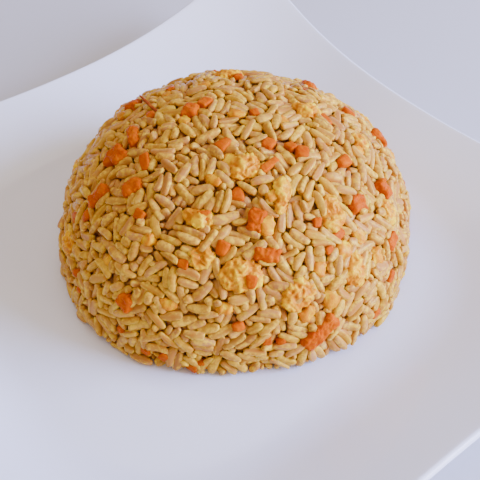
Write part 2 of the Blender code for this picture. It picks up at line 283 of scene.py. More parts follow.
def unevenness(points):
    """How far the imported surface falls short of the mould, in soft pits and lumps.

    Each wave turns by a radian over the length that it is divided by, in millimetres.
    """
    x, y, z = (points / MM).T
    wave = np.sin(x / 2.1 + y / 5.3) * np.sin(y / 2.4 - z / 4.1) * np.sin(z / 1.9 + x / 6.7)
    slow = np.sin(x / 4.9 - z / 7.3 + 1) * np.sin(y / 4.1 + z / 5.7)
    return UNEVENNESS * np.clip(0.05 + 0.8 * wave + 0.4 * slow, -0.45, 0.95)


def dome_point(azimuth, rise):
    """Points of the mould's surface at azimuths and rises from base to top, in radians."""
    radius = MOUND_RADIUS * np.cos(rise) ** (2 / SIDE_FULLNESS)
    radius = radius + swell_at(azimuth) * np.cos(rise) ** 2
    height = MOUND_HEIGHT * np.sin(rise) ** (2 / TOP_FULLNESS)
    return MOUND_CENTRE + np.stack([radius * np.cos(azimuth), radius * np.sin(azimuth), height], -1)


def camera_axes():
    ahead = (CAMERA_TARGET - CAMERA_PLACE).normalized()
    right = ahead.cross(Vector((0, 0, 1))).normalized()
    up = right.cross(ahead)
    tilted = right * math.cos(CAMERA_ROLL) + up * math.sin(CAMERA_ROLL)
    return tilted, tilted.cross(ahead), ahead


def seen_on_mound(px, py):
    """The point of the mould's surface that shows at a pixel of the photograph."""
    right, up, ahead = (np.array(axis) for axis in camera_axes())
    middle = PHOTO_SIZE / 2
    ray = ahead * FOCAL_PIXELS + right * (px - middle) - up * (py - middle)
    ray /= np.linalg.norm(ray)
    points = np.array(CAMERA_PLACE) + np.arange(*RAY_STEPS)[:, None] * ray
    depth, out = under_mould(points)
    depth[points[:, 2] < MOUND_CENTRE[2] + 1 * MM] = -1
    inside = depth > 0
    nearest = np.argmax(inside) if inside.any() else np.argmax(depth)
    return points[nearest] + out[nearest] * depth[nearest]


# Packing the grains

def close_pairs(points, reach, owner):
    """Pairs of beads of different pieces that are nearer than reach."""
    cells = np.floor(points / reach).astype(np.int64)
    cells -= cells.min(0) - 1
    wide = cells.max(0) + 2
    key = (cells[:, 0] * wide[1] + cells[:, 1]) * wide[2] + cells[:, 2]
    order = np.argsort(key, kind="stable")
    ordered = key[order]
    found = []
    for dx in (0, 1):
        for dy in (-1, 0, 1):
            for dz in (-1, 0, 1):
                if dx == 0 and (dy, dz) < (0, 0):
                    continue
                target = key + (dx * wide[1] + dy) * wide[2] + dz
                first = np.searchsorted(ordered, target, "left")
                count = np.searchsorted(ordered, target, "right") - first
                i = np.repeat(np.arange(len(points)), count)
                start = np.repeat(first - np.cumsum(count) + count, count)
                j = order[start + np.arange(len(i))]
                keep = owner[i] != owner[j]
                if dx == dy == dz == 0:
                    keep &= i < j
                i = i[keep]
                j = j[keep]
                near = ((points[i] - points[j]) ** 2).sum(1) < reach * reach
                found.append((i[near], j[near]))
    return np.concatenate([f[0] for f in found]), np.concatenate([f[1] for f in found])


def add_at(count, where, what):
    """The sum of vectors for each bead."""
    return np.stack([np.bincount(where, what[:, axis], count) for axis in range(3)], -1)


def unit(vectors):
    return vectors / np.maximum(np.linalg.norm(vectors, axis=-1, keepdims=True), 1e-12)


def start_grains(rng):
    """Grains strewn through the shell under the mould's surface, lying mostly along it."""

    def varied(spread, least, most):
        return np.clip(rng.normal(1, spread, GRAIN_COUNT), least, most)

    turns = rng.random(GRAIN_COUNT) * 2 * math.pi
    heights = rng.random(GRAIN_COUNT)
    centre = dome_point(turns, np.arcsin(heights))
    _, out = under_mould(centre)
    centre = centre - out * rng.uniform(SHELL_TOP, SHELL_DEPTH, GRAIN_COUNT)[:, None]
    loose = rng.normal(size=(GRAIN_COUNT, 3))
    along = loose - (loose * out).sum(1, keepdims=True) * out
    steep = rng.random(GRAIN_COUNT) < STEEP_SHARE
    lean = rng.normal(size=GRAIN_COUNT) * np.where(steep, STEEP_LEAN, USUAL_LEAN)
    axis = unit(unit(along) + out * lean[:, None])
    length = GRAIN_LENGTH * varied(*LENGTH_VARIES)
    broken = rng.random(GRAIN_COUNT) < BROKEN_SHARE
    length *= np.where(broken, rng.uniform(*BROKEN_LENGTHS, GRAIN_COUNT), 1)
    width = GRAIN_WIDTH * varied(*WIDTH_VARIES)
    return centre, axis, length, width, steep


def pushed_apart(beads, fixed_points, radii, pairs):
    """The beads, each moved part of the way out of the others and of the fixed ones."""
    every = np.concatenate([beads, fixed_points])
    i, j = pairs
    apart = every[j] - every[i]
    distance = np.linalg.norm(apart, axis=1)
    overlap = radii[i] + radii[j] - distance
    touching = overlap > 0
    i = i[touching]
    j = j[touching]
    push = apart[touching] / np.maximum(distance[touching], 1e-9)[:, None]
    push *= (overlap[touching] / 2)[:, None]
    total = add_at(len(every), i, -push) + add_at(len(every), j, push)
    contacts = np.bincount(i, minlength=len(every)) + np.bincount(j, minlength=len(every))
    moved = total / np.maximum(1, contacts * 0.6)[:, None]
    return beads + moved[:len(beads)]


def pack_grains(rng, fixed_points, fixed_radii):
    """Presses the grains outwards against the mould and apart from each other."""
    centre, axis, length, width, steep = start_grains(rng)
    settling = np.where(steep, STEEP_SETTLING, 1.0)
    radius = width * BEAD_SHARE
    half = length / 2 - radius * 0.9
    stations = np.linspace(-1, 1, GRAIN_BEADS)
    own = np.repeat(np.arange(len(centre)), GRAIN_BEADS)
    owner = np.concatenate([own, -np.ones(len(fixed_points), int)])
    own_radii = np.repeat(radius, GRAIN_BEADS)
    radii = np.concatenate([own_radii, fixed_radii])
    reach = 2.4 * radius.max() + 0.6 * MM
    rounds = PACKING_ROUNDS
    for step in range(rounds):
        beads = (centre[:, None] + axis[:, None] * (half[:, None] * stations)[..., None]).reshape(-1, 3)
        _, out = under_mould(beads)
        beads = beads + out * OUTWARD_PULL * (1 - step / rounds)
        for _ in range(2):
            if step % ROUNDS_PER_SEARCH == 0:
                pairs = close_pairs(np.concatenate([beads, fixed_points]), reach, owner)
            beads = pushed_apart(beads, fixed_points, radii, pairs)
            depth, out = under_mould(beads)
            short = np.maximum(own_radii - depth + unevenness(beads), 0)
            beads = beads - out * short[:, None]
            low = plate_top(beads[:, 0], beads[:, 1]) + PLATE_GAP + own_radii - beads[:, 2]
            beads[:, 2] += np.maximum(low, 0)
        shaped = beads.reshape(-1, GRAIN_BEADS, 3)
        centre = shaped.mean(1)
        axis = unit(((shaped - centre[:, None]) * stations[None, :, None]).sum(1))
        depth, out = under_mould(centre)
        lost = np.where(depth < SURFACE_DEPTH, SURFACE_SETTLING, DEEP_SETTLING)
        upright = (axis * out).sum(1) * lost * settling
        axis = unit(axis - out * upright[:, None])
    depth, _ = under_mould(centre)
    seen = depth < HIDDEN_DEPTH
    return centre[seen], axis[seen], length[seen], width[seen]


# Meshes made from arrays

def mesh_from_grids(name, grids, values):
    """One mesh of many closed bodies, each a grid of rings with a point at either end.

    grids is an array of bodies by rings by sides by 3; values holds numbers for each point.
    """
    bodies, rings, sides, _ = grids.shape
    first = grids[:, 0].mean(1)
    last = grids[:, -1].mean(1)
    per_body = rings * sides + 2
    points = np.concatenate([grids.reshape(bodies, -1, 3), first[:, None], last[:, None]], 1)
    ring = np.arange(rings - 1)[:, None] * sides
    side = np.arange(sides)
    after = (side + 1) % sides
    quads = np.stack([ring + side, ring + after, ring + sides + after, ring + sides + side], -1)
    quads = quads.reshape(-1, 4)
    top = np.stack([np.full(sides, rings * sides), after, side], -1)
    base = (rings - 1) * sides
    tail = np.stack([np.full(sides, rings * sides + 1), base + side, base + after], -1)
    tris = np.concatenate([top, tail])
    shift = np.arange(bodies)[:, None, None] * per_body
    quads = (quads[None] + shift).reshape(-1, 4)
    tris = (tris[None] + shift).reshape(-1, 3)
    mesh = bpy.data.meshes.new(name)
    corners = np.concatenate([quads.ravel(), tris.ravel()])
    mesh.vertices.add(bodies * per_body)
    mesh.vertices.foreach_set("co", points.astype(np.float32).ravel())
    mesh.loops.add(len(corners))
    mesh.loops.foreach_set("vertex_index", corners.astype(np.int32))
    mesh.polygons.add(len(quads) + len(tris))
    starts = np.concatenate([np.arange(len(quads)) * 4, len(quads) * 4 + np.arange(len(tris)) * 3])
    mesh.polygons.foreach_set("loop_start", starts.astype(np.int32))
    for label, value in values.items():
        ends = np.stack([value[:, 0].mean(1), value[:, -1].mean(1)], 1)
        flat = np.concatenate([value.reshape(bodies, -1), ends], 1)
        layer = mesh.attributes.new(label, "FLOAT", "POINT")
        layer.data.foreach_set("value", flat.astype(np.float32).ravel())
    mesh.update(calc_edges=True)
    mesh.validate()
    mesh.shade_smooth()
    return mesh


def add_piece(name, mesh, material, replaced=()):
    piece = bpy.data.objects.new(name, mesh)
    bpy.context.scene.collection.objects.link(piece)
    mesh.materials.clear()
    mesh.materials.append(material)
    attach(piece, "root")
    if replaced:
        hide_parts(*replaced)
    return piece


def grain_grids(rng, centre, axis, length, width, split):
    """Bent, creased grains with blunt ends, each one a little different."""
    count = len(centre)

    def draw(low, high):
        return rng.uniform(low, high, count)[:, None, None]

    _, out = under_mould(centre)
    flat = unit(out - (out * axis).sum(1, keepdims=True) * axis)
    roll = rng.normal(size=count) * 0.5
    side = np.cross(axis, flat)
    thin = flat * np.cos(roll)[:, None] + side * np.sin(roll)[:, None]
    wide = np.cross(thin, axis)

    # Along the grain from end to end, with rings closer at the ends, and round it.
    even = np.linspace(-1, 1, GRAIN_RINGS + 2)[1:-1]
    u = (0.6 * np.sin(even * math.pi / 2) + 0.4 * even)[None, :, None]
    v = (np.arange(GRAIN_SIDES) * 2 * math.pi / GRAIN_SIDES)[None, None, :]

    # The radius as a share of the half width: blunt ends, a taper, waves and grooves.
    slim_end = draw(1.9, 2.7)
    blunt_end = draw(2.6, 4.2)
    body = (1 - np.abs(u) ** np.where(u < 0, slim_end, blunt_end)) ** draw(0.42, 0.56)
    taper = draw(-0.12, 0.14)
    wave = draw(0.0, 0.06)
    body = body * (1 - taper * u) * (1 + wave * np.sin(u * 4 + draw(0, 6)))
    fade = 1 - u ** 4
    groove = 0
    for deepest, narrow in GROOVES:
        away = (np.cos(v - draw(0, 6.3)) - 1) / narrow
        groove = groove + np.exp(-away ** 2) * draw(0.02, deepest) * fade
    wrinkle = WRINKLE * np.sin(u * draw(6, 14) + v * 2 + draw(0, 6)) * np.cos(v * 3 + draw(0, 6))
    body = body * (1 - groove) * (1 + wrinkle)

    # A split grain gapes at one end.
    end = np.where(rng.random(count) < 0.5, -1, 1)[:, None, None]
    burst = np.clip((u * end - 0.1) / 0.9, 0, 1) * split[:, None, None]
    gape = 1 + burst * (0.5 * np.abs(np.cos(v)) - 0.5 * np.abs(np.sin(v)))
    square = 1 + draw(0.0, 0.1) * np.cos(4 * v + draw(0, 6))
    half_width = width[:, None, None] / 2
    wide_part = body * np.cos(v) * gape * square * half_width
    thin_part = body * np.sin(v) * square * (1 - 0.3 * burst) * half_width * GRAIN_FLATNESS

    bend = draw(-0.03, 0.1) * length[:, None, None] * (0.6 - u * u)
    bow = draw(-0.07, 0.07) * length[:, None, None] * (0.6 - u * u)
    along = u * length[:, None, None] / 2 + 0 * v
    grids = centre[:, None, None] + along[..., None] * axis[:, None, None]
    grids = grids + (wide_part + bow)[..., None] * wide[:, None, None]
    grids = grids + (thin_part - bend)[..., None] * thin[:, None, None]
    return grids, groove + 0.05 * np.cos(2 * v + draw(0, 6)) + wrinkle


def build_grains(rng, packed, material):
    """The grains in four pieces by tone, with what their material needs at each point."""
    centre, axis, length, width = packed
    count = len(centre)
    split = (rng.random(count) < SPLIT_SHARE) * rng.uniform(0.4, 1.0, count)
    grids, groove = grain_grids(rng, centre, axis, length, width, split)
    patch = np.array([noise.noise(Vector(c) / TONE_PATCH) for c in centre])
    tone = np.clip(rng.beta(2.2, 2.2, count) + patch * 0.3, 0, 1)
    hue = rng.random(count)
    print("grains", count, "triangles", count * 2 * GRAIN_SIDES * GRAIN_RINGS)
    depth, _ = under_mould(grids.reshape(-1, 3))
    sunk = np.clip(depth.reshape(grids.shape[:3]) / (4 * MM), 0, 1)
    kind = np.digitize(tone, np.quantile(tone, [0.25, 0.5, 0.75]))
    for number, label in enumerate(("brown", "golden", "cream", "pale")):
        mine = kind == number
        spread = np.ones(grids.shape[:3])[mine]
        values = {
            "tone": spread * tone[mine][:, None, None],
            "hue": spread * hue[mine][:, None, None],
            "sunk": sunk[mine],
            "groove": spread * groove[mine],
        }
        mesh = mesh_from_grids(f"rice_{label}", grids[mine], values)
        add_piece(f"rice_{label}", mesh, material, ["rice"])


def bit_frames(rng, points, turns):
    """Axes at points of the mound: level turned by the given angle, across it, and out."""
    _, out = under_mould(points)
    level = unit(np.cross([0, 0, 1.0], out))
    up = np.cross(out, level)
    turns = np.radians(turns)[:, None]
    along = level * np.cos(turns) + up * np.sin(turns)
    along = unit(along + out * rng.normal(size=len(points))[:, None] * BIT_TILT)
    out = unit(out - (out * along).sum(1, keepdims=True) * along)
    return along, np.cross(out, along), out


def spread_bits(rng, taken, count, low, high):
    """More bits, clear of those already there, on all that the camera doesn't see well."""
    view_axes = [np.array(axis) for axis in camera_axes()]
    rows = []
    for _ in range(TRIES_PER_BIT * count):
        if len(rows) == count:
            break
        point = dome_point(
            np.array([rng.random() * 2 * math.pi]), np.array([math.asin(rng.uniform(0.05, 0.99))])
        )[0]
        _, out = under_mould(point[None])
        size = rng.uniform(low, high) * MM
        faces_camera = out[0] @ view_axes[2] < -0.12
        if faces_camera or min(np.linalg.norm(taken - point, axis=1)) < size + BIT_SPACING:
            continue
        taken = np.concatenate([taken, point[None]])
        rows.append((point, size, size * rng.uniform(0.65, 0.95), rng.uniform(-90, 90)))
    return rows, taken


def box_grids(sizes, rings, sides, squareness, taper, places, axes):
    """Rounded boxes or lumps as grids, from a sphere whose directions are squared off."""
    u = np.linspace(0, math.pi, rings + 2)[1:-1][None, :, None]
    v = (np.arange(sides) * 2 * math.pi / sides)[None, None, :]

    def squared(value):
        return np.sign(value) * np.abs(value) ** squareness[:, None, None]

    x = squared(np.cos(u)) + 0 * v
    y = squared(np.sin(u)) * squared(np.cos(v))
    z = squared(np.sin(u)) * squared(np.sin(v))
    y = y * (1 + taper[:, None, None] * x)
    local = np.stack([x, y, z], -1) * sizes[:, None, None] / 2
    along, across, out = axes
    grids = places[:, None, None] + local[..., 0:1] * along[:, None, None]
    grids = grids + local[..., 1:2] * across[:, None, None] + local[..., 2:3] * out[:, None, None]
    return grids


def roughen(points, normals, scale, depth, offset, octaves=3):
    """Moves points along their normals by noise."""
    moved = np.array([
        noise.fractal(Vector(p) / scale + offset, NOISE_FALL, NOISE_STEP, octaves) for p in points
    ])
    return points + normals * (moved * depth)[:, None]


def folded(points, normals, scale, depth, offset):
    """Moves points in along their normals, so that soft folds stay between them."""
    moved = np.empty(len(points))
    for i, point in enumerate(points):
        place = Vector(point) / scale + offset
        bent = place + noise.noise_vector(place * 0.6) * FOLD_WANDER
        moved[i] = 1 - abs(noise.noise(bent)) * FOLD_SHARPNESS
    return points + normals * (np.clip(moved, -1, 1) * depth)[:, None]


def finish_mesh(mesh, seed, layers):
    """Works a mesh's surface with layers of (maker, size of the forms, depth).

    The attribute crest keeps how far each point was raised, for the materials.
    """
    count = len(mesh.vertices)
    points = np.zeros(count * 3)
    normals = np.zeros(count * 3)
    mesh.vertices.foreach_get("co", points)
    mesh.vertex_normals.foreach_get("vector", normals)
    points = points.reshape(-1, 3)
    normals = normals.reshape(-1, 3)
    start = points
    for number, (maker, scale, depth) in enumerate(layers):
        points = maker(points, normals, scale, depth, Vector((seed, number * LAYER_SHIFT, 0)))
    raised = ((points - start) * normals).sum(1)
    crest = 0.5 + (raised - raised.mean()) / max(1e-9, 4 * raised.std())
    mesh.attributes.new("crest", "FLOAT", "POINT").data.foreach_set("value", crest.astype(np.float32))
    mesh.vertices.foreach_set("co", points.ravel())
    mesh.update()


def refined(node, voxel, smoothing):
    """A fine, rounded copy of a solid's mesh."""
    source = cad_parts[node]
    thing = bpy.data.objects.new(node + "_fine", source.data.copy())
    bpy.context.scene.collection.objects.link(thing)
    thing.data.materials.clear()
    remesh = thing.modifiers.new("Remesh", "REMESH")
    remesh.mode = "VOXEL"
    remesh.voxel_size = voxel
    smooth = thing.modifiers.new("Smooth", "SMOOTH")
    smooth.iterations = smoothing
    shown = thing.evaluated_get(bpy.context.evaluated_depsgraph_get())
    mesh = bpy.data.meshes.new_from_object(shown)
    bpy.data.objects.remove(thing)
    mesh.shade_smooth()
    return mesh


def node_beads(node, smaller):
    """Round beads that fill a flattish solid, to keep the grains off it."""
    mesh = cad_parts[node].data
    points = np.array([v.co for v in mesh.vertices])
    centre = (points.min(0) + points.max(0)) / 2
    _, _, axes = np.linalg.svd(points - points.mean(0), full_matrices=False)
    local = (points - centre) @ axes.T
    half = np.abs(local).max(0)
    radius = half[2] * PIECE_BEAD_SHARE
    beads = []
    steps = [max(1, int(math.ceil((h - radius) / radius))) for h in half[:2]]
    for a in np.linspace(-1, 1, 2 * steps[0] + 1):
        for b in np.linspace(-1, 1, 2 * steps[1] + 1):
            spot = a * max(0, half[0] - radius) * axes[0] + b * max(0, half[1] - radius) * axes[1]
            beads.append(centre + spot)
    return np.array(beads), np.full(len(beads), radius - smaller)


# Materials

def srgb(*values):
    """A colour from its 0 to 255 display values, in the linear values that shaders use."""
    linear = []
    for value in values:
        share = value / 255
        linear.append(share / 12.92 if share <= 0.04045 else ((share + 0.055) / 1.055) ** 2.4)
    return (*linear, 1.0)


class Surface:
    """A material and its nodes, with a short way to add each kind. Scales are per metre."""

    def __init__(self, name):
        self.material = bpy.data.materials.new(name)
        self.material.use_nodes = True
        self.nodes = self.material.node_tree.nodes
        self.links = self.material.node_tree.links
        self.shader = self.nodes["Principled BSDF"]
        self.where = self.nodes.new("ShaderNodeTexCoord").outputs["Object"]

    def fill(self, node, values):
        """Links or sets a node's inputs, by their name or number."""
        for socket, value in values.items():
            if hasattr(value, "default_value"):
                self.links.new(value, node.inputs[socket])
            else:
                node.inputs[socket].default_value = value

    def attribute(self, name):
        node = self.nodes.new("ShaderNodeAttribute")
        node.attribute_name = name
        return node.outputs["Fac"]

    def stretched(self, scale):
        node = self.nodes.new("ShaderNodeMapping")
        self.fill(node, {"Vector": self.where, "Scale": scale})
        return node.outputs["Vector"]

    def noise(self, scale, detail=3.0, roughness=0.55, where=None):
        node = self.nodes.new("ShaderNodeTexNoise")
        place = where if where else self.where
        self.fill(node, {"Vector": place, "Scale": scale, "Detail": detail, "Roughness": roughness})
        return node.outputs["Fac"]

    def ramp(self, value, stops):
        node = self.nodes.new("ShaderNodeValToRGB")
        self.fill(node, {"Fac": value})
        elements = node.color_ramp.elements
        while len(elements) < len(stops):
            elements.new(0.5)
        for element, (place, colour) in zip(elements, stops):
            element.position = place
            element.color = colour
        return node.outputs["Color"]

    def tones(self, value, stops):
        """A ramp of colours, given by their display values."""
        return self.ramp(value, [(place, srgb(*colour)) for place, colour in stops])

    def mask(self, value, stops):
        """A ramp of greys, which says how much of something shows."""
        return self.ramp(value, [(place, (level, level, level, 1)) for place, level in stops])

    def both(self, first, second):
        """Where two masks both show."""
        node = self.nodes.new("ShaderNodeMath")
        node.operation = "MULTIPLY"
        self.fill(node, {0: first, 1: second})
        return node.outputs[0]

    def covered(self, colour, cover, mask):
        """A colour with another one, given by its display values, over it by a mask."""
        node = self.nodes.new("ShaderNodeMix")
        node.data_type = "RGBA"
        self.fill(node, {0: mask, 6: colour, 7: srgb(*cover)})
        return node.outputs[2]

    def shade(self, colour, roughness, values=()):
        self.fill(self.shader, {"Base Color": colour, "Roughness": roughness, **dict(values)})

    def glow(self, weight, radius, scale):
        """Light that goes into the surface and comes out again near by."""
        names = ("Subsurface Weight", "Subsurface Radius", "Subsurface Scale")
        self.fill(self.shader, dict(zip(names, (weight, radius, scale))))

    def gloss(self, ior, level, tint):
        names = ("IOR", "Specular IOR Level", "Specular Tint")
        self.fill(self.shader, dict(zip(names, (ior, level, (*tint, 1.0)))))

    def bump(self, height, strength, distance):
        node = self.nodes.new("ShaderNodeBump")
        self.fill(node, {"Height": height, "Strength": strength, "Distance": distance})
        self.links.new(node.outputs["Normal"], self.shader.inputs["Normal"])


def rice_material():
    """Oiled grains, each of its own tone, with stains, pale patches on the ridges that are partly a
    painted highlight, painted shade in the grooves and a painted shade tint deep in the heap.
    """
    surface = Surface("rice_grain")
    hue = surface.attribute("hue")
    groove = surface.attribute("groove")
    colour = surface.tones(surface.attribute("tone"), [
        (0.0, (170, 113, 60)), (0.3, (181, 127, 58)), (0.55, (191, 140, 50)),
        (0.8, (202, 155, 36)), (1.0, (216, 172, 42)),
    ])
    beige = surface.mask(hue, [(0.12, 0.6), (0.5, 0)])
    colour = surface.covered(colour, (206, 150, 84), beige)
    olive = surface.mask(hue, [(0.6, 0), (0.9, 0.5)])
    colour = surface.covered(colour, (200, 155, 44), olive)
    # Paler on the ridges, in mottled patches: partly the grains' own pale patches, partly a painted
    # highlight along the ridges.
    smooth = surface.mask(groove, [(0.0, 1), (0.06, 0.3), (0.1, 0)])
    mottled = surface.mask(surface.noise(800), [(0.42, 0), (0.58, 1)])
    colour = surface.covered(colour, (234, 193, 56), surface.both(smooth, mottled))
    stained = surface.mask(surface.noise(480, 4, 0.65), [(0.46, 0), (0.68, 0.75)])
    colour = surface.covered(colour, (188, 121, 38), stained)
    # Painted shade: a darker colour in the grooves along each grain.
    painted_groove_shade = surface.mask(groove, [(0.08, 0), (0.26, 0.9)])
    colour = surface.covered(colour, (184, 118, 44), painted_groove_shade)
    # Painted shade tint: deep in the heap, between the grains, the colour turns paler and bluer, as
    # shaded gaps look.
    sunk = surface.mask(surface.attribute("sunk"), [(0.3, 0), (0.9, 1)])
    colour = surface.covered(colour, (208, 152, 98), sunk)
    surface.shade(colour, 0.27)
    surface.gloss(1.33, 0.5, (1.0, 0.8, 0.15))
    surface.glow(0.35, (1.0, 0.55, 0.16), 1.1 * MM)
    surface.bump(surface.noise(1500, 4), 0.5, 0.16 * MM)
    return surface.material


def core_material():
    surface = Surface("rice_core")
    # The colour of the rice inside the heap, with the same paler, bluer painted shade tint as the deep
    # grains, since it shows only in the shaded gaps.
    blotch = surface.noise(300, 4)
    colour = surface.tones(blotch, [
        (0.3, (192, 128, 66)), (0.55, (208, 146, 78)), (0.75, (220, 160, 92)),
    ])
    surface.shade(colour, 0.5)
    surface.glow(0.5, (1.0, 0.45, 0.12), 1.5 * MM)
    surface.bump(blotch, 0.6, 0.6 * MM)
    return surface.material


def carrot_material():
    """Cooked carrot: soft patches, with paler fibres along one way."""
    surface = Surface("carrot_flesh")
    colour = surface.tones(surface.noise(260), [
        (0.3, (176, 70, 0)), (0.5, (188, 84, 0)), (0.72, (202, 102, 0)),
    ])
    fibre = surface.noise(1500, 4, where=surface.stretched((1.0, 0.25, 1.0)))
    colour = surface.covered(colour, (216, 120, 0), surface.mask(fibre, [(0.5, 0), (0.8, 0.5)]))
    surface.shade(colour, 0.3)
    surface.gloss(1.33, 0.12, (1.0, 0.6, 0.2))
    surface.glow(0.3, (1.0, 0.3, 0.02), 1.2 * MM)
    surface.bump(fibre, 0.8, 0.28 * MM)
    return surface.material


def egg_material():
    """Scrambled egg: browned in places, with painted shade in its hollows and a painted highlight on
    its ridges.
    """
    surface = Surface("egg_curd")
    crest = surface.attribute("crest")
    colour = surface.tones(surface.noise(240, 4), [
        (0.26, (206, 128, 0)), (0.44, (220, 148, 0)), (0.6, (236, 170, 0)), (0.78, (248, 196, 6)),
    ])
    browned = surface.mask(surface.noise(430), [(0.6, 0), (0.74, 0.8)])
    colour = surface.covered(colour, (196, 112, 2), browned)
    # Painted shade: a deeper orange in the hollows of the curds.
    painted_hollow_shade = surface.mask(crest, [(0.2, 0.9), (0.5, 0)])
    colour = surface.covered(colour, (206, 124, 0), painted_hollow_shade)
    # Painted highlight: a pale yellow on the ridges of the curds.
    painted_ridge_highlight = surface.mask(crest, [(0.6, 0), (0.9, 0.8)])
    colour = surface.covered(colour, (255, 212, 10), painted_ridge_highlight)
    surface.shade(colour, 0.34)
    surface.gloss(1.36, 0.4, (1.0, 0.8, 0.3))
    surface.glow(0.4, (1.0, 0.55, 0.08), 1.4 * MM)
    surface.bump(surface.noise(1300, 5), 0.6, 0.3 * MM)
    return surface.material


def sliver_material():
    surface = Surface("dark_sliver")
    patch = surface.noise(700)
    colour = surface.tones(patch, [
        (0.3, (122, 46, 4)), (0.5, (146, 62, 4)), (0.72, (172, 88, 8)),
    ])
    surface.shade(colour, 0.4, {"Specular IOR Level": 0.15})
    surface.bump(patch, 0.4, 0.2 * MM)
    return surface.material


def porcelain_material():
    """White glaze, faintly clouded and rippled, with a gloss that varies a little."""
    surface = Surface("white_glaze")
    colour = surface.tones(surface.noise(16, 4), [(0.3, (234, 238, 250)), (0.7, (240, 244, 253))])
    roughness = surface.mask(surface.noise(60), [(0.3, 0.14), (0.7, 0.22)])
    surface.shade(colour, roughness, {"Coat Weight": 0.4, "Coat Roughness": 0.08})
    surface.glow(0.08, (1.0, 0.9, 0.8), 2 * MM)
    surface.bump(surface.noise(90, 2), 0.08, 0.4 * MM)
    return surface.material


def floor_material():
    surface = Surface("floor_pale")
    pale = srgb(*FLOOR_COLOUR)
    dark = tuple(part * 0.97 for part in pale[:3]) + (1.0,)
    surface.shade(surface.ramp(surface.noise(3, 2), [(0.3, dark), (0.7, pale)]), 0.8)
    return surface.material


# Pieces

def plate_profile_rings():
    """Rings of the plate's top from the well outwards.

    Each is how far out it lies in a direction, and its share of the full thickness.
    """
    wall_end = WELL_HALF_WIDTH + WALL_BLEND
    rings = []
    for share in WELL_RINGS:
        rings.append((lambda angle, s=share: well_reach(angle, WELL_HALF_WIDTH * s), 1.0))
    thinner = 1 - LIP_THICKNESS / PLATE_THICKNESS
    for step in range(WALL_RINGS + 1):
        share = step / WALL_RINGS
        distance = WELL_HALF_WIDTH + WALL_BLEND * share
        rings.append((lambda angle, d=distance: well_reach(angle, d), 1 - thinner * share / 2))
    for step in range(1, LIP_RINGS + 1):
        share = step / LIP_RINGS
        rings.append((
            lambda angle, s=share: (1 - s) * well_reach(angle, wall_end) + s * outline_reach(angle),
            1 - thinner * (1 + share) / 2,
        ))
    return rings


def build_plate(material):
    bm = bmesh.new()
    taper = bm.verts.layers.deform.new()
    rings = []
    for reach_at, thickness in plate_profile_rings():
        ring = []
        for angle in side_angles():
            reach = reach_at(angle)
            x = reach * math.cos(angle)
            y = reach * math.sin(angle)
            vert = bm.verts.new((x, y, plate_top(x, y)))
            vert[taper][0] = thickness
            ring.append(vert)
        rings.append(ring)
    bm.faces.new(rings[0])
    for inner, outer in zip(rings, rings[1:]):
        for i in range(len(inner)):
            j = (i + 1) % len(inner)
            bm.faces.new((inner[i], outer[i], outer[j], inner[j]))
    mesh = bpy.data.meshes.new("plate_glazed")
    bm.to_mesh(mesh)
    bm.free()
    plate = add_piece("plate_glazed", mesh, material, ["plate"])
    shell = plate.modifiers.new("Thickness", "SOLIDIFY")
    shell.thickness = PLATE_THICKNESS
    shell.vertex_group = plate.vertex_groups.new(name="thickness").name
    shell.offset = -1
    shell.use_even_offset = True
    rounding = plate.modifiers.new("Round rim", "BEVEL")
    rounding.width = RIM_ROUNDING
    rounding.segments = 6
    rounding.limit_method = "ANGLE"
    rounding.angle_limit = math.radians(50)
    mesh.shade_smooth()


def build_foot(material):
    """The ring that the plate stands on, of the same form as the well."""
    bm = bmesh.new()
    rows = []
    inside = FOOT_HALF_WIDTH - FOOT_RING_WIDTH
    outside = FOOT_HALF_WIDTH
    profile = ((inside, FOOT_HEIGHT), (inside, 0), (outside, 0), (outside, FOOT_HEIGHT))
    for half, height in profile:
        row = []
        for step in range(FOOT_STEPS):
            angle = 2 * math.pi * step / FOOT_STEPS
            reach = well_reach(angle, half)
            row.append(bm.verts.new((reach * math.cos(angle), reach * math.sin(angle), height)))
        rows.append(row)
    for inner, outer in zip(rows, rows[1:]):
        for i in range(len(inner)):
            j = (i + 1) % len(inner)
            bm.faces.new((inner[i], inner[j], outer[j], outer[i]))
    bmesh.ops.recalc_face_normals(bm, faces=bm.faces[:])
    mesh = bpy.data.meshes.new("plate_foot")
    bm.to_mesh(mesh)
    bm.free()
    foot = add_piece("plate_foot", mesh, material, ["plate"])
    rounding = foot.modifiers.new("Round foot", "BEVEL")
    rounding.width = FOOT_ROUNDING
    rounding.segments = 3
    mesh.shade_smooth()


def build_core(material):
    """What shows deep between the grains: a rough dome that follows the mould."""
    bm = bmesh.new()
    bmesh.ops.create_icosphere(bm, subdivisions=6, radius=1)
    below = [vert for vert in bm.verts if vert.co.z < -0.001]
    bmesh.ops.delete(bm, geom=below, context="VERTS")
    unit_points = np.array([vert.co for vert in bm.verts])
    rise = np.arcsin(np.clip(unit_points[:, 2], 0, 1))
    surface = dome_point(np.arctan2(unit_points[:, 1], unit_points[:, 0]), rise)
    _, out = under_mould(surface)
    lumps = np.array([noise.noise(Vector(p) / CORE_LUMP_SIZE) for p in surface])
    points = surface - out * (CORE_DEPTH - lumps * CORE_LUMP_HEIGHT)[:, None]
    lowest = plate_top(points[:, 0], points[:, 1]) + PLATE_GAP
    points[:, 2] = np.maximum(points[:, 2], lowest)
    for vert, point in zip(bm.verts, points):
        vert.co = point
    bmesh.ops.contextual_create(bm, geom=[edge for edge in bm.edges if edge.is_boundary])
    mesh = bpy.data.meshes.new("rice_core")
    bm.to_mesh(mesh)
    bm.free()
    mesh.shade_smooth()
    add_piece("rice_core", mesh, material, ["rice"])


def nodes_of(kind):
    return sorted(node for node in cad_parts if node.startswith(kind))


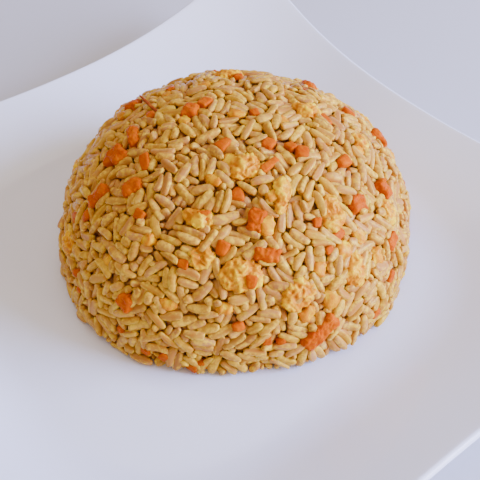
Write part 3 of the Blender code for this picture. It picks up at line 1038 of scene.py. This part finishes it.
def build_large(kind, material, voxel, smoothing, layers):
    """Fine, worked copies of the solids of a kind, set out as far as the grains round them."""
    for number, node in enumerate(nodes_of(kind)):
        mesh = refined(node, voxel, smoothing)
        middle = np.mean([vert.co for vert in mesh.vertices], axis=0)
        _, out = under_mould(middle[None])
        lift = np.clip((middle[2] - MOUND_CENTRE[2]) / MOUND_HEIGHT, 0, 1) ** TOP_FULLNESS
        mesh.transform(Matrix.Translation(out[0] * BASE_SPREAD * (1 - lift)))
        finish_mesh(mesh, number * PIECE_SHIFT, layers)
        add_piece(node + "_piece", mesh, material, [node])


def build_bits(name, rows, rng, thickness, squareness, layers, material):
    """The small bits of a kind in one piece, each half sunk in the surface."""
    count = len(rows)
    points = np.array([row[0] for row in rows])
    sizes = np.array([(row[1], row[2], row[2] * thickness) for row in rows])
    axes = bit_frames(rng, points, np.array([row[3] for row in rows]))
    sink = sizes[:, 2] / 2 - rng.uniform(-0.5, 0.5, count) * MM
    places = points - axes[2] * sink[:, None]
    squared = rng.uniform(*squareness, count)
    tapers = rng.uniform(-BIT_TAPER, BIT_TAPER, count)
    grids = box_grids(sizes, BIT_RINGS, BIT_SIDES, squared, tapers, places, axes)
    mesh = mesh_from_grids(name, grids, {})
    finish_mesh(mesh, 7, layers)
    add_piece(name, mesh, material, ["rice"])


def build_sliver(material):
    """A thin, dark scrap that lies across the view, half bedded in the surface."""
    point = seen_on_mound(*SLIVER_PLACE)
    out = under_mould(point[None])[1][0]
    right, up, _ = (np.array(axis) for axis in camera_axes())
    along = unit(right * SLIVER_RUN[0] - up * SLIVER_RUN[1])
    along = unit(along - out * (along @ out) * 0.6)
    across = unit(np.cross(out, along))
    axes = (along[None], across[None], np.cross(along, across)[None])
    size = np.array([SLIVER_SIZE]) * MM
    place = point[None] + out * 0.5 * MM
    grids = box_grids(size, 20, 10, np.array([0.8]), np.array([0.2]), place, axes)
    mesh = mesh_from_grids("dark_sliver", grids, {})
    finish_mesh(mesh, 3, [(roughen, 1.8 * MM, 0.25 * MM)])
    add_piece("dark_sliver", mesh, material, ["rice"])


def seen_rows(table, lift=0.0):
    """Place, length, width and turn of each bit in a table of those that show."""
    rows = []
    for px, py, length, width, turn in table:
        point = seen_on_mound(px, py)
        _, out = under_mould(point[None])
        rows.append((point + out[0] * lift, length * MM, width * MM, turn))
    return rows


def bit_beads(rows, thickness):
    """Beads that keep the grains off the small bits."""
    beads = []
    radii = []
    for point, length, width, turn in rows:
        _, out = under_mould(point[None])
        beads.append(point - out[0] * width * thickness / 2)
        radii.append(width * BIT_BEAD_SHARE)
    return np.array(beads), np.array(radii)


def build_food():
    rng = np.random.default_rng(SEED)
    carrot = carrot_material()
    egg = egg_material()
    kept_clear = [
        node_beads(node, GRAINS_LAP_OVER[kind]) for kind in GRAINS_LAP_OVER for node in nodes_of(kind)
    ]
    carrots = seen_rows(CARROT_BITS_SEEN)
    eggs = seen_rows(EGG_BITS_SEEN)
    taken = np.concatenate([beads for beads, _ in kept_clear] + [[row[0] for row in carrots + eggs]])
    more, taken = spread_bits(rng, taken, *HIDDEN_CARROT_BITS)
    carrots += more
    more, taken = spread_bits(rng, taken, *HIDDEN_EGG_BITS)
    eggs += more
    kept_clear.append(bit_beads(carrots, CARROT_BIT_THICKNESS))
    kept_clear.append(bit_beads(eggs, EGG_BIT_THICKNESS))
    packed = pack_grains(rng, *(np.concatenate(part) for part in zip(*kept_clear)))
    build_core(core_material())
    build_grains(rng, packed, rice_material())
    build_large("carrot", carrot, 0.35 * MM, 5, [
        (roughen, 2.4 * MM, 0.5 * MM), (folded, 1.5 * MM, 0.12 * MM), (roughen, 0.6 * MM, 0.07 * MM),
    ])
    build_large("egg", egg, 0.28 * MM, 3, [
        (roughen, 3.4 * MM, 0.9 * MM), (folded, 1.9 * MM, 0.28 * MM), (roughen, 0.6 * MM, 0.1 * MM),
    ])
    carrots += seen_rows(CARROT_ON_EGG, CARROT_ON_EGG_LIFT)
    build_bits("carrot_bits", carrots, rng, CARROT_BIT_THICKNESS, (0.36, 0.7), [
        (roughen, 1.6 * MM, 0.22 * MM),
    ], carrot)
    build_sliver(sliver_material())
    build_bits("egg_bits", eggs, rng, EGG_BIT_THICKNESS, (0.6, 1.0), [
        (roughen, 2.2 * MM, 0.8 * MM), (folded, 1.3 * MM, 0.3 * MM),
    ], egg)


# Floor, light and camera

def add_lamp(name, place, target, width, power, colour):
    data = bpy.data.lights.new(name, "AREA")
    data.shape = "DISK"
    data.size = width
    data.energy = power
    data.color = colour
    lamp = bpy.data.objects.new(name, data)
    bpy.context.scene.collection.objects.link(lamp)
    lamp.location = place
    lamp.rotation_euler = (target - place).to_track_quat("-Z", "Y").to_euler()


def build_stage():
    bpy.ops.mesh.primitive_plane_add(size=FLOOR_SIZE)
    floor = bpy.context.object
    floor.name = "floor"
    floor.data.materials.append(floor_material())
    world = bpy.data.worlds.new("soft_sky")
    bpy.context.scene.world = world
    world.use_nodes = True
    background = world.node_tree.nodes["Background"]
    background.inputs["Color"].default_value = SKY_COLOUR
    background.inputs["Strength"].default_value = SKY_STRENGTH
    right, _, ahead = camera_axes()
    level = Vector((ahead.x, ahead.y, 0)).normalized()
    centre = Vector(MOUND_CENTRE)
    for name, ((aside, away, up), width, power, colour) in LAMPS.items():
        place = centre + right * aside + level * away + Vector((0, 0, up))
        add_lamp(name, place, centre, width, power, colour)


def build_camera():
    data = bpy.data.cameras.new("camera")
    data.lens = SENSOR_WIDTH * FOCAL_PIXELS / PHOTO_SIZE
    data.sensor_width = SENSOR_WIDTH
    data.clip_start = 0.01
    camera = bpy.data.objects.new("camera", data)
    bpy.context.scene.collection.objects.link(camera)
    right, up, ahead = camera_axes()
    turn = Matrix((right, up, -ahead)).transposed().to_4x4()
    camera.matrix_world = Matrix.Translation(CAMERA_PLACE) @ turn
    bpy.context.scene.camera = camera


build_stage()
build_camera()
glaze = porcelain_material()
build_plate(glaze)
build_foot(glaze)
build_food()

bpy.context.view_layer.update()
